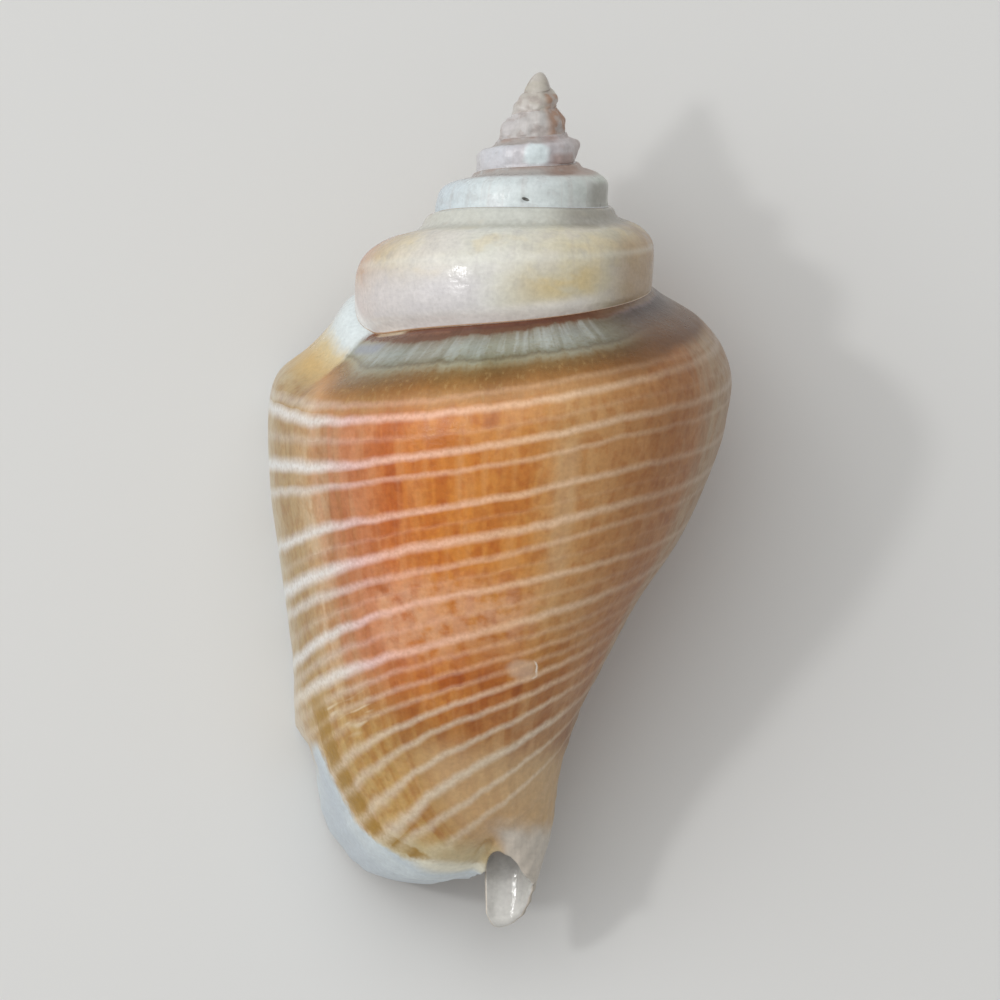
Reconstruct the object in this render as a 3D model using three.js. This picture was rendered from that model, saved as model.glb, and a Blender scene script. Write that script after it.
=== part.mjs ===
import * as THREE from 'three';

// A strombid sea shell lying on its aperture: the axis runs along Y with the apex at +Y, and +Z is
// the shell's back. Lengths are millimetres and angles are degrees.
//
// A place on the shell is given by its growth angle and by how far down the whorl it lies. The growth
// angle turns once per whorl: 0 is the right side, 90 the back, 180 the left side and 270 the belly.
// Heights are measured along the axis from the apex, and radii from the axis.
const lipAngle = 217;
const columnsPerTurn = 40;
const columnStep = 360 / columnsPerTurn;
const spireColumns = 244;
const canalColumns = 22;
const cavityColumns = 36;
const startAngle = lipAngle - spireColumns * columnStep;
const canalAngle = lipAngle - canalColumns * columnStep;

const wallThickness = 0.85;
const lipThickness = 0.7;
const canalThickness = 0.45;

// The wall thins over this many degrees before the lip, and between these places towards the canal.
const lipThins = 25;
const canalThins = [10, 13];

// The rounded apex, as shares of the way from its tip to the first turn of the seam.
const apexRings = [0.5, 0.15];

// The notch in the lip's edge near the front, and the small tooth above it.
const notchHeight = 36.1;
const notchDepth = 0.25;
const notchWidth = 0.4;
const notchReach = 16;
const toothHeight = 35.1;
const toothRise = 0.12;
const toothWidth = 0.35;

// Ribs on the early whorls and, as [growth angle, half width, rise], one white rib, one old lip and
// one slack stretch between them. A rise is a share of the radius.
const ribsPerTurn = 9;
const ribRise = 0.025;
const ribbed = [-1560, -1400, -900, -820];
const broadRibs = [[-990, 14, 0.05], [-688, 12, 0.05], [-560, 45, -0.05]];

// How the shell lies: turned about X and then about Y until it rests on its lip and its belly, where
// wear has left small flats.
const restPitch = 6;
const restRoll = 3.2;
const wearDepth = 0.15;

const shellColour = 0xc98a4e;
const shellRoughness = 0.35;

// The upper seam of each whorl, [growth angle, radius, height]. One turn on, it is the lower seam.
const seam = [
  [-1980, 0.42, 0.3],
  [-1800, 0.6, 0.8],
  [-1620, 0.79, 1.31],
  [-1440, 1.0, 1.79],
  [-1260, 1.26, 2.36],
  [-1080, 1.63, 3.1],
  [-900, 1.89, 3.78],
  [-720, 2.26, 4.62],
  [-540, 2.94, 5.49],
  [-360, 4.1, 6.83],
  [-180, 4.99, 7.77],
  [0, 6.6, 10.96],
  [90, 7.25, 13.14],
  [151, 7.85, 14.12],
  [180, 8.25, 14.65],
  [270, 9.35, 16.8],
  [360, 10.5, 19.01],
  [450, 11.24, 22.26],
  [540, 12.3, 25.2],
  [560, 13.15, 25.52],
  [577, 15.33, 25.73],
];

// Close to the lip the seam climbs the whorl before it: [growth angle, share of the way up]. The
// whole way is this many places.
const climbPlaces = 4;
const seamClimb = [
  [151, 0],
  [160, 0.01],
  [168, 0.05],
  [172, 0.12],
  [176, 0.23],
  [181, 0.34],
  [190, 0.44],
  [217, 0.58],
];

// The greatest radius of each whorl, [growth angle, radius].
const widest = [
  [-1980, 0.68],
  [-1620, 1.26],
  [-1440, 1.52],
  [-1260, 1.84],
  [-1080, 2.31],
  [-900, 2.94],
  [-720, 4.04],
  [-540, 4.99],
  [-360, 6.62],
  [-180, 9.03],
  [-90, 9.66],
  [0, 10.97],
  [90, 11.92],
  [180, 13.13],
  [200, 14.12],
  [217, 16.15],
];

// The outline of a whorl below its seam, as [share of the way out, share of the way down]. The first
// whorls are nearly straight sided, and the later ones have a shoulder.
const apexOutline = [[0, 0], [0.2, 0.1], [0.42, 0.2], [0.68, 0.34], [0.88, 0.48], [1, 0.66]];
const spireOutline = [[0, 0], [0.11, 0.02], [0.24, 0.14], [0.64, 0.22], [0.92, 0.36], [1, 0.56]];
const bodyOutline = [[0, 0], [0.19, 0.07], [0.45, 0.14], [0.65, 0.21], [0.88, 0.36], [1, 0.58]];
const lipOutline = [[0, 0], [0.15, 0.04], [0.33, 0.136], [0.6, 0.237], [0.92, 0.336], [1, 0.5]];
const spireTuck = [0.85, 0.84];
const bodyTuck = [0.6, 0.8];
const spireBegins = [-1300, -1120];
const bodyBegins = [-130, -20];
const lipBegins = [90, 180];

// The body whorl from its girdle towards the front, row by row: [growth angle, radius, height].
// Angles under -143 are the column inside the aperture.
const frontRows = [
  [
    [-467, 4.6, 11.3],
    [-341, 5.25, 13.13],
    [-240, 6.41, 15.75],
    [-143, 7.88, 18.12],
    [-90, 8.72, 20.22],
    [0, 8.87, 23.42],
    [90, 9.87, 27.04],
    [180, 11.24, 30.98],
    [200, 11.97, 31.4],
    [217, 13.86, 31.61],
  ],
  [
    [-467, 3.45, 13.1],
    [-341, 3.99, 14.96],
    [-240, 5.15, 18.12],
    [-143, 6.72, 21.27],
    [-90, 7.46, 23.37],
    [0, 6.8, 26.83],
    [90, 8.56, 29.93],
    [180, 10.71, 33.87],
    [200, 11.6, 34.4],
    [217, 13.7, 35.1],
  ],
  [
    [-467, 2.5, 15.2],
    [-341, 2.89, 17.33],
    [-240, 3.78, 21],
    [-143, 5.25, 24.68],
    [-90, 6.09, 26.52],
    [0, 5.46, 29.56],
    [90, 7.25, 32.71],
    [180, 9.82, 36.45],
    [200, 10.55, 36.6],
    [217, 12.45, 36.5],
  ],
  [
    [-467, 2.0, 17.3],
    [-341, 2.31, 19.43],
    [-240, 3.05, 23.1],
    [-143, 4.57, 26.78],
    [-90, 5.3, 28.62],
    [0, 4.78, 31.09],
    [90, 6.25, 34.34],
    [180, 8.72, 39.4],
    [200, 9.98, 39.6],
    [217, 12.5, 39.4],
  ],
  [
    [-467, 1.65, 19.9],
    [-341, 1.89, 22.05],
    [-240, 2.52, 25.73],
    [-143, 3.89, 29.4],
    [-90, 4.52, 30.98],
    [0, 4.08, 32.6],
    [90, 5.36, 35.81],
    [180, 7.56, 41.4],
    [200, 8.6, 41.6],
    [217, 10.9, 41.65],
  ],
  [
    [-467, 1.4, 24.1],
    [-341, 1.47, 26.25],
    [-240, 1.89, 29.93],
    [-143, 3.05, 33.61],
    [-90, 3.41, 34.39],
    [0, 3.28, 35.3],
    [90, 3.83, 38.33],
    [120, 3.89, 40.01],
    [150, 3.99, 41.74],
    [180, 5.25, 42.69],
    [217, 8.6, 42.75],
  ],
  [
    [-341, 1.31, 31.51],
    [-240, 1.42, 34.66],
    [-143, 2.21, 38.23],
    [-90, 2.36, 38.59],
    [0, 2.36, 39.12],
    [64, 2.42, 39.38],
    [90, 2.68, 39.64],
    [120, 2.73, 40.33],
    [150, 2.84, 41.74],
    [180, 3.57, 42.66],
    [217, 5.51, 42.95],
  ],
  [
    [-341, 1.26, 37.81],
    [-240, 1.47, 40.96],
    [-143, 1.73, 42.16],
    [-90, 1.63, 42.16],
    [0, 1.74, 41],
    [64, 1.89, 41],
    [90, 2.15, 40.59],
    [118, 2.1, 40.33],
    [140, 2.15, 40.8],
    [155, 2.1, 41.69],
    [180, 2.52, 42.43],
    [217, 3.94, 42.64],
  ],
];

// The front edge, round the tip of the canal, the arch over it and the front of the lip.
const frontEdge = [
  [-143, 1.5, 44.2],
  [-125, 1.5, 44.85],
  [-112, 1.4, 45],
  [-90, 1.25, 44.85],
  [-45, 1.23, 44.1],
  [0, 1.33, 42.65],
  [30, 1.5, 42.35],
  [64, 1.79, 42],
  [90, 1.84, 41.27],
  [118, 1.68, 40.96],
  [140, 1.63, 41.32],
  [155, 1.58, 42.11],
  [180, 1.79, 42.27],
  [217, 2.63, 42.48],
];

// The middle of the whorls as it moves off the axis, [height, sideways, towards the back].
const centreLine = [
  [0, 0, 0],
  [3.15, -0.16, 0],
  [10.5, -0.16, 0],
  [16.8, 0, 0],
  [35.71, 0, 0],
  [41.48, 0.74, 0.16],
  [45, 0.74, 0.32],
];

// The canal's open spoon: its inner face follows the outer face from one rim to the other.
const spoonStart = 12;
const spoonTurn = 155;
const spoonWall = [0, 0, 0, 0, 0, 0, 0, 1, 0.6, 0.3];
const spoonShare = [0, 0, 0, 0, 0, 0, 0, 0.4, 1, 1];

// Rows of the mesh from the seam to the next seam, and from there to the front edge.
const upperRows = 8;
const lowerRows = 18;
const allRows = upperRows + lowerRows;
const hollowRow = 19;

// Places down a whorl: the tuck under its widest part, the girdle or next seam, and the front edge.
const tuckPlace = 6;
const girdle = 7;
const lastPoint = girdle + frontRows.length + 1;

// The inner face leaves the whorl before it at the first place and has its full wall at the second.
const innerBegins = [-0.5, 2.2];

// How far apart the points are that tell which way the outer face looks, in degrees and in places.
const turnStep = 2;
const placeStep = 0.1;

const radians = THREE.MathUtils.degToRad;
const mix = THREE.MathUtils.lerp;
const clamp = THREE.MathUtils.clamp;

// The slope of a smooth line through three stations, level where the line turns back.
function slopeAt(stations, at, column) {
  const before = Math.max(at - 1, 0);
  const after = Math.min(at + 1, stations.length - 1);
  if (before === at || after === at) {
    const rise = stations[after][column] - stations[before][column];
    return rise / (stations[after][0] - stations[before][0]);
  }
  const runIn = stations[at][0] - stations[before][0];
  const runOut = stations[after][0] - stations[at][0];
  const into = (stations[at][column] - stations[before][column]) / runIn;
  const out = (stations[after][column] - stations[at][column]) / runOut;
  if (into * out <= 0) {
    return 0;
  }
  const even = (into * runOut + out * runIn) / (runIn + runOut);
  const most = 3 * Math.min(Math.abs(into), Math.abs(out));
  return Math.sign(even) * Math.min(Math.abs(even), most);
}

// The value of a column of the stations at a place along them.
function follow(stations, place, column) {
  const at = clamp(place, stations[0][0], stations[stations.length - 1][0]);
  let next = 1;
  while (next < stations.length - 1 && stations[next][0] < at) {
    next += 1;
  }
  const low = stations[next - 1];
  const high = stations[next];
  const run = high[0] - low[0];
  const t = (at - low[0]) / run;
  const t2 = t * t;
  const t3 = t2 * t;
  return (2 * t3 - 3 * t2 + 1) * low[column]
    + (t3 - 2 * t2 + t) * run * slopeAt(stations, next - 1, column)
    + (3 * t2 - 2 * t3) * high[column]
    + (t3 - t2) * run * slopeAt(stations, next, column);
}

function smooth(low, high, value) {
  return THREE.MathUtils.smoothstep(value, low, high);
}

function bell(offset, width) {
  return Math.exp(-((offset / width) ** 2));
}

function ribs(angle) {
  const early = smooth(ribbed[0], ribbed[1], angle) * (1 - smooth(ribbed[2], ribbed[3], angle));
  const wave = ribRise * early * Math.cos(radians(angle * ribsPerTurn));
  return broadRibs.reduce((sum, [at, width, rise]) => sum + rise * bell(angle - at, width), wave);
}

// The shell's outline points at a growth angle, seam to front edge: [place, radius, height].
function outlineAt(angle) {
  const top = seamAt(angle);
  const low = [follow(seam, angle + 360, 1), follow(seam, angle + 360, 2)];
  const wide = follow(widest, angle, 1);
  const toSpire = smooth(spireBegins[0], spireBegins[1], angle);
  const toBody = smooth(bodyBegins[0], bodyBegins[1], angle);
  const toLip = smooth(lipBegins[0], lipBegins[1], angle);
  const points = apexOutline.map((early, i) => {
    const [out, down] = [0, 1].map((k) => {
      const spire = mix(early[k], spireOutline[i][k], toSpire);
      return mix(mix(spire, bodyOutline[i][k], toBody), lipOutline[i][k], toLip);
    });
    return [i, mix(top[0], wide, out), mix(top[1], low[1], down)];
  });
  const tuck = [0, 1].map((k) => mix(spireTuck[k], bodyTuck[k], toBody));
  points.push([tuckPlace, mix(low[0], wide, tuck[0]), mix(top[1], low[1], tuck[1])]);
  points.push([girdle, low[0], low[1]]);
  for (let i = 1; i < tuckPlace; i += 1) {
    points[i][1] *= 1 + ribs(angle) * Math.sin(Math.PI * i / tuckPlace);
  }
  for (const row of frontRows) {
    points.push([points.length, follow(row, angle, 1), follow(row, angle, 2)]);
  }
  points.push([points.length, follow(frontEdge, angle, 1), follow(frontEdge, angle, 2)]);
  return points;
}

// How far down the whorl before it the seam of the next one lies.
function seamPlace(angle) {
  return girdle - climbPlaces * (angle > seamClimb[0][0] ? follow(seamClimb, angle, 1) : 0);
}

function seamAt(angle) {
  if (angle <= seamClimb[0][0]) {
    return [follow(seam, angle, 1), follow(seam, angle, 2)];
  }
  const before = outlineAt(angle - 360);
  const place = seamPlace(angle);
  return [follow(before, place, 1), follow(before, place, 2)];
}

function notch(angle, height) {
  const near = smooth(lipAngle - notchReach, lipAngle, angle);
  const tooth = toothRise * bell(height - toothHeight, toothWidth);
  return near * (tooth - notchDepth * bell(height - notchHeight, notchWidth));
}

function inSpace(angle, radius, height) {
  const turned = radians(angle);
  const sideways = follow(centreLine, height, 1) + radius * Math.cos(turned);
  const back = follow(centreLine, height, 2) + radius * Math.sin(turned);
  return new THREE.Vector3(sideways, -height, back);
}

// A point of the outer face.
function outside(angle, place) {
  const outline = outlineAt(angle);
  const height = follow(outline, place, 2);
  return inSpace(angle, follow(outline, place, 1) + notch(angle, height), height);
}

// The way into the wall from a point of the outer face.
function inward(angle, place) {
  const along = outside(angle + turnStep, place).sub(outside(angle - turnStep, place));
  const below = outside(angle, Math.min(place + placeStep, lastPoint));
  const down = below.sub(outside(angle, place - placeStep));
  return down.cross(along).normalize();
}

// A point of the column inside the aperture, which opens into the spoon of the canal.
function innerColumn(angle, place) {
  const row = place - girdle;
  const share = follow(spoonShare.map((value, i) => [i, value]), row, 1);
  const turned = clamp((angle - (canalAngle - 360)) / (lipAngle - canalAngle), 0, 1);
  const mirrored = spoonStart - turned * spoonTurn;
  const wall = follow(spoonWall.map((value, i) => [i, value]), row, 1) * Math.sqrt(1 - turned ** 2);
  const column = outside(angle, place);
  if (share === 0) {
    return column;
  }
  const spoon = outside(mirrored, place).addScaledVector(inward(mirrored, place), wall);
  return column.lerp(spoon, share);
}

// A point of the inner face of the outer wall, which starts on the whorl before it.
function inside(angle, place, start) {
  const nearLip = smooth(lipAngle - lipThins, lipAngle, angle);
  const nearCanal = smooth(canalThins[0], canalThins[1], place);
  const wall = mix(mix(wallThickness, lipThickness, nearLip), canalThickness, nearCanal);
  const point = outside(angle, place).addScaledVector(inward(angle, place), wall);
  return start.clone().lerp(point, smooth(innerBegins[0], innerBegins[1], place));
}

function placeOfRow(row, angle) {
  if (row <= upperRows) {
    return seamPlace(angle + 360) * row / upperRows;
  }
  const from = seamPlace(angle + 360);
  return from + (lastPoint - from) * (row - upperRows) / lowerRows;
}

// Turns the shell to the way it lies.
function settled(point) {
  const pitch = radians(restPitch);
  const roll = radians(restRoll);
  return point.applyAxisAngle(new THREE.Vector3(1, 0, 0), pitch)
    .applyAxisAngle(new THREE.Vector3(0, 1, 0), roll);
}

function makeShell() {
  const points = [];
  const faces = [];
  const known = new Map();

  function keep(point) {
    points.push(point);
    return points.length - 1;
  }

  function triangle(a, b, c) {
    faces.push(a, b, c);
  }

  function quad(a, b, c, d) {
    triangle(a, b, c);
    triangle(a, c, d);
  }

  const lip = spireColumns;
  const firstOpen = lip - columnsPerTurn;
  const canal = lip - canalColumns;
  const deep = lip - cavityColumns;

  // A point of the outer face. The lower seam of one whorl is the upper seam of the next.
  function outer(column, row) {
    if (row === upperRows && column <= firstOpen) {
      return outer(column + columnsPerTurn, 0);
    }
    const name = `${column} ${row}`;
    if (!known.has(name)) {
      const angle = startAngle + column * columnStep;
      const place = placeOfRow(row, angle);
      const made = column < firstOpen && row > upperRows;
      known.set(name, keep(made ? innerColumn(angle, place) : outside(angle, place)));
    }
    return known.get(name);
  }

  function inner(column, row) {
    if (row === 0) {
      return outer(column - columnsPerTurn, upperRows + 1);
    }
    const name = `${column} ${row} inner`;
    if (!known.has(name)) {
      const angle = startAngle + column * columnStep;
      const start = points[inner(column, 0)];
      known.set(name, keep(inside(angle, placeOfRow(row, angle), start)));
    }
    return known.get(name);
  }

  function sheet(corner, fromColumn, toColumn, fromRow, toRow, flip) {
    for (let i = fromColumn; i < toColumn; i += 1) {
      for (let j = fromRow; j < toRow; j += 1) {
        const [a, b] = [corner(i, j), corner(i + 1, j)];
        const [c, d] = [corner(i + 1, j + 1), corner(i, j + 1)];
        if (flip) {
          quad(a, d, c, b);
        } else {
          quad(a, b, c, d);
        }
      }
    }
  }

  // A strip between two lines of points that start and end together.
  function ladder(left, right) {
    const lengthTo = (line) => {
      const lengths = [0];
      for (let i = 1; i < line.length; i += 1) {
        lengths.push(lengths[i - 1] + points[line[i]].distanceTo(points[line[i - 1]]));
      }
      return lengths.map((length) => length / lengths[lengths.length - 1]);
    };
    const leftAt = lengthTo(left);
    const rightAt = lengthTo(right);
    let i = 0;
    let j = 0;
    while (i < left.length - 1 || j < right.length - 1) {
      const goLeft = j === right.length - 1 || (i < left.length - 1 && leftAt[i + 1] < rightAt[j + 1]);
      const next = goLeft ? left[i + 1] : right[j + 1];
      if (left[i] !== right[j] && next !== left[i] && next !== right[j]) {
        triangle(left[i], right[j], next);
      }
      if (goLeft) {
        i += 1;
      } else {
        j += 1;
      }
    }
  }

  sheet(outer, 0, lip, 0, upperRows, false);
  sheet(outer, firstOpen, lip, upperRows, allRows, false);
  sheet(outer, deep - columnsPerTurn, firstOpen, upperRows + 1, hollowRow, false);
  sheet(outer, canal - columnsPerTurn, firstOpen, hollowRow, allRows, false);
  sheet(inner, deep, lip, 0, hollowRow, true);
  sheet(inner, canal, lip, hollowRow, allRows, true);

  for (let row = 0; row < allRows; row += 1) {
    quad(outer(lip, row), inner(lip, row), inner(lip, row + 1), outer(lip, row + 1));
  }
  for (let column = canal; column < lip; column += 1) {
    const [a, b] = [outer(column, allRows), outer(column + 1, allRows)];
    quad(a, b, inner(column + 1, allRows), inner(column, allRows));
  }

  // The far end of the hollow, its floor behind the canal, and the rim round the canal's tip.
  const span = (from, to, corner) => {
    const line = [];
    const step = Math.sign(to - from);
    for (let i = from; i !== to + step; i += step) {
      line.push(corner(i));
    }
    return line;
  };
  const before = (column, row) => outer(column - columnsPerTurn, row);
  ladder(
    span(0, hollowRow, (row) => inner(deep, row)),
    span(upperRows + 1, hollowRow, (row) => before(deep, row)),
  );
  ladder(
    span(deep, canal, (column) => inner(column, hollowRow)),
    span(deep, canal, (column) => before(column, hollowRow)),
  );
  ladder(
    span(hollowRow, allRows, (row) => inner(canal, row)),
    span(hollowRow, allRows, (row) => before(canal, row)),
  );
  ladder(
    [inner(canal, allRows), ...span(canal, firstOpen, (column) => outer(column, allRows))],
    span(canal, lip, (column) => before(column, allRows)),
  );

  // The rounded apex, over the first turn of the seam and the start of the first whorl.
  const start = [
    ...span(0, columnsPerTurn, (column) => outer(column, 0)),
    ...span(1 - upperRows, -1, (row) => outer(0, -row)),
  ];
  const rings = apexRings.map((share) => start.map((corner) => {
    const { x, y, z } = points[corner];
    return keep(new THREE.Vector3(x * Math.sqrt(share), y * share, z * Math.sqrt(share)));
  }));
  const apex = keep(new THREE.Vector3(0, 0, 0));
  start.forEach((corner, i) => {
    const next = (i + 1) % start.length;
    const left = [corner, ...rings.map((ring) => ring[i])];
    const right = [start[next], ...rings.map((ring) => ring[next])];
    for (let k = 0; k < rings.length; k += 1) {
      triangle(left[k + 1], right[k], left[k]);
      triangle(left[k + 1], right[k + 1], right[k]);
    }
    triangle(apex, right[rings.length], left[rings.length]);
  });

  return { points, faces };
}

function makeGeometry({ points, faces }) {
  const placed = points.map((point) => settled(point.clone()));
  const box = new THREE.Box3().setFromPoints(placed);
  const middle = box.getCenter(new THREE.Vector3());
  const floor = box.min.z + wearDepth;
  const numbers = placed.flatMap((point) => [
    point.x - middle.x,
    point.y - middle.y,
    Math.max(point.z - floor, 0),
  ]);
  const geometry = new THREE.BufferGeometry();
  geometry.setAttribute('position', new THREE.Float32BufferAttribute(numbers, 3));
  geometry.setIndex(faces);
  geometry.computeVertexNormals();
  return geometry;
}

const shellMaterial = new THREE.MeshStandardMaterial({
  color: shellColour,
  roughness: shellRoughness,
  metalness: 0,
});
const shell = new THREE.Mesh(makeGeometry(makeShell()), shellMaterial);
shell.name = 'shell';

const group = new THREE.Group();
group.add(shell);

export default group;
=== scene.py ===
import math

import bpy
import numpy as np
from mathutils import Matrix, Vector, noise


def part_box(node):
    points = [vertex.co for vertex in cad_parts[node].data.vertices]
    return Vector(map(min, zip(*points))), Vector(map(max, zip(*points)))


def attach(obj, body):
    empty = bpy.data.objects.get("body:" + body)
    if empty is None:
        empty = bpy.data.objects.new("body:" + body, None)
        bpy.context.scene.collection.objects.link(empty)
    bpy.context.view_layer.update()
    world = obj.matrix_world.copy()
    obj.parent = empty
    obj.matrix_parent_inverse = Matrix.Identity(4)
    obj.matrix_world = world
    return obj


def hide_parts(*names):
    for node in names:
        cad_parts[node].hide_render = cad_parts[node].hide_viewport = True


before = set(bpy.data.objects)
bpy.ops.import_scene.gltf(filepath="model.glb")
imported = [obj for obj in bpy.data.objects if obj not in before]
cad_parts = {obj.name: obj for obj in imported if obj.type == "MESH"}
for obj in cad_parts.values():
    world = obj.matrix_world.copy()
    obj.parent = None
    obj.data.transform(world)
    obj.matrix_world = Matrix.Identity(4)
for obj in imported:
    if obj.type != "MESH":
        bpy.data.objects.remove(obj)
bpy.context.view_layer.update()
print("frame loaded")

# Lengths in the shell's own numbers are millimetres and angles are degrees.
# The growth angle turns once per whorl: 0 right side, 90 back, 180 left side, 270 belly.
# A place runs down a whorl: 0 upper seam, 7 girdle or next seam, 16 front edge.
mm = 0.001
pixel = 45 / 857  # millimetres of shell per pixel of the photograph


# Smooth lines through stations


def slopesOf(x, y):
    run = np.diff(x)[:, None]
    rise = np.diff(y, axis=0) / run
    slope = np.zeros_like(y)
    slope[0], slope[-1] = rise[0], rise[-1]
    into, out, runIn, runOut = rise[:-1], rise[1:], run[:-1], run[1:]
    even = (into * runOut + out * runIn) / (runIn + runOut)
    most = 3 * np.minimum(np.abs(into), np.abs(out))
    slope[1:-1] = np.where(into * out <= 0, 0, np.sign(even) * np.minimum(np.abs(even), most))
    return slope


def between(t, run, low, high, slopeLow, slopeHigh):
    # The smooth curve from one value to the next, with these slopes at its ends.
    return (
        (2 * t**3 - 3 * t**2 + 1) * low
        + (t**3 - 2 * t**2 + t) * run * slopeLow
        + (3 * t**2 - 2 * t**3) * high
        + (t**3 - t**2) * run * slopeHigh
    )


def follow(stations, place):
    stations = np.asarray(stations, float)
    x, y = stations[:, 0], stations[:, 1:]
    slope = slopesOf(x, y)
    place = np.clip(place, x[0], x[-1])
    low = np.clip(np.searchsorted(x, place) - 1, 0, len(x) - 2)
    run = (x[low + 1] - x[low])[..., None]
    t = (place - x[low])[..., None] / run
    return between(t, run, y[low], y[low + 1], slope[low], slope[low + 1])


def smooth(low, high, value):
    t = np.clip((value - low) / (high - low), 0, 1)
    return t * t * (3 - 2 * t)


def bell(offset, width):
    return np.exp(-((offset / width) ** 2))


def mix(a, b, share):
    return a + (b - a) * share


def unit(vectors):
    return vectors / np.maximum(np.linalg.norm(vectors, axis=-1, keepdims=True), 1e-9)


def soften(values, width):
    # A running mean with soft ends, which keeps the first and last values.
    reach = int(3 * width) + 1
    weight = np.exp(-0.5 * (np.arange(-reach, reach + 1) / width) ** 2)
    weight /= weight.sum()
    head = 2 * values[:1] - values[reach:0:-1]
    tail = 2 * values[-1:] - values[-2 : -reach - 2 : -1]
    longer = np.concatenate([head, values, tail])
    out = np.zeros_like(values)
    for shift, share in enumerate(weight):
        out += share * longer[shift : shift + len(values)]
    return out


# The shell's own shape

shell = {
    "lipAngle": 217.0,
    "columnsPerTurn": 220,
    "wholeTurn": 2196,
    "canalTurn": 198,
    "hollowTurn": 324,
    "wall": 0.85,
    "lipWall": 0.7,
    "canalWall": 0.45,
    "upperRows": 34,
    "lowerRows": 72,
    "hollowRows": 44,
    "bunching": 0.6,  # how much closer the upper rows lie near the seams
    "seamSoftness": 5,
    "frontSoftness": 3,
    "edgeSoftness": 2.5,
    "lipThinning": 25,
    "canalThinning": (10, 13),
    "liningFade": (-0.5, 2.2),
    "rimSteps": 6,
    "lipSetBack": 1.4,
    "beadReach": 0.1,
    "apexRings": (0.7, 0.4, 0.18, 0.05),
    "pitch": 6.0,
    "roll": 3.2,
    "topClearance": 0.004,
    "sideShrink": 0.9998,
}
columnStep = 360 / shell["columnsPerTurn"]
turnColumns = shell["columnsPerTurn"]
lipAngle = shell["lipAngle"]
lastColumn = round(shell["wholeTurn"] / columnStep)
startAngle = lipAngle - shell["wholeTurn"]
girdle, frontPlace, placeStep = 7, 16, 0.05

seam = [
    (-1980, 0.42, 0.3), (-1800, 0.6, 0.8), (-1620, 0.79, 1.31), (-1440, 1.0, 1.79), (-1260, 1.26, 2.36),
    (-1080, 1.63, 3.1), (-900, 1.89, 3.78), (-720, 2.26, 4.62), (-540, 2.94, 5.49), (-360, 4.1, 6.83),
    (-180, 4.99, 7.77), (0, 6.6, 10.96), (90, 7.25, 13.14), (151, 7.85, 14.12), (180, 8.25, 14.65),
    (270, 9.35, 16.8), (360, 10.5, 19.01), (450, 11.24, 22.26), (540, 12.3, 25.2), (560, 13.15, 25.52),
    (577, 15.33, 25.73),
]
seamClimb = [
    (151, 0), (160, 0.01), (168, 0.05), (172, 0.12), (176, 0.23), (181, 0.34), (190, 0.44), (217, 0.58),
]
climbPlaces = 4
lipNotches = [(35.1, 0.35, 0.12), (36.1, 0.4, -0.25)]  # height, half width and how far out
knobs = [(-990, 14, 0.05), (-688, 12, 0.05), (-560, 45, -0.05)]  # turn, half width and share of the radius
widest = [
    (-1980, 0.68), (-1620, 1.26), (-1440, 1.52), (-1260, 1.84), (-1080, 2.31), (-900, 2.94), (-720, 4.04),
    (-540, 4.99), (-360, 6.62), (-180, 9.03), (-90, 9.66), (0, 10.97), (90, 11.92), (180, 13.13),
    (200, 14.12), (217, 16.15),
]
apexOutline = [(0, 0), (0.2, 0.1), (0.42, 0.2), (0.68, 0.34), (0.88, 0.48), (1, 0.66)]
spireOutline = [(0, 0), (0.11, 0.02), (0.24, 0.14), (0.64, 0.22), (0.92, 0.36), (1, 0.56)]
bodyOutline = [(0, 0), (0.19, 0.07), (0.45, 0.14), (0.65, 0.21), (0.88, 0.36), (1, 0.58)]
lipOutline = [(0, 0), (0.15, 0.04), (0.33, 0.136), (0.6, 0.237), (0.92, 0.336), (1, 0.5)]
spireTuck, bodyTuck = (0.85, 0.84), (0.6, 0.8)
frontAngles = (-467, -341, -240, -143, -90, 0, 90, 180, 200, 217)
upperFront = [
    [(4.6, 11.3), (5.25, 13.13), (6.41, 15.75), (7.88, 18.12), (8.72, 20.22), (8.87, 23.42), (9.87, 27.04),
     (11.24, 30.98), (11.97, 31.4), (13.86, 31.61)],
    [(3.45, 13.1), (3.99, 14.96), (5.15, 18.12), (6.72, 21.27), (7.46, 23.37), (6.8, 26.83), (8.56, 29.93),
     (10.71, 33.87), (11.6, 34.4), (13.7, 35.1)],
    [(2.5, 15.2), (2.89, 17.33), (3.78, 21), (5.25, 24.68), (6.09, 26.52), (5.46, 29.56), (7.25, 32.71),
     (9.82, 36.45), (10.55, 36.6), (12.45, 36.5)],
    [(2.0, 17.3), (2.31, 19.43), (3.05, 23.1), (4.57, 26.78), (5.3, 28.62), (4.78, 31.09), (6.25, 34.34),
     (8.72, 39.4), (9.98, 39.6), (12.5, 39.4)],
    [(1.65, 19.9), (1.89, 22.05), (2.52, 25.73), (3.89, 29.4), (4.52, 30.98), (4.08, 32.6), (5.36, 35.81),
     (7.56, 41.4), (8.6, 41.6), (10.9, 41.65)],
]
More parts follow.
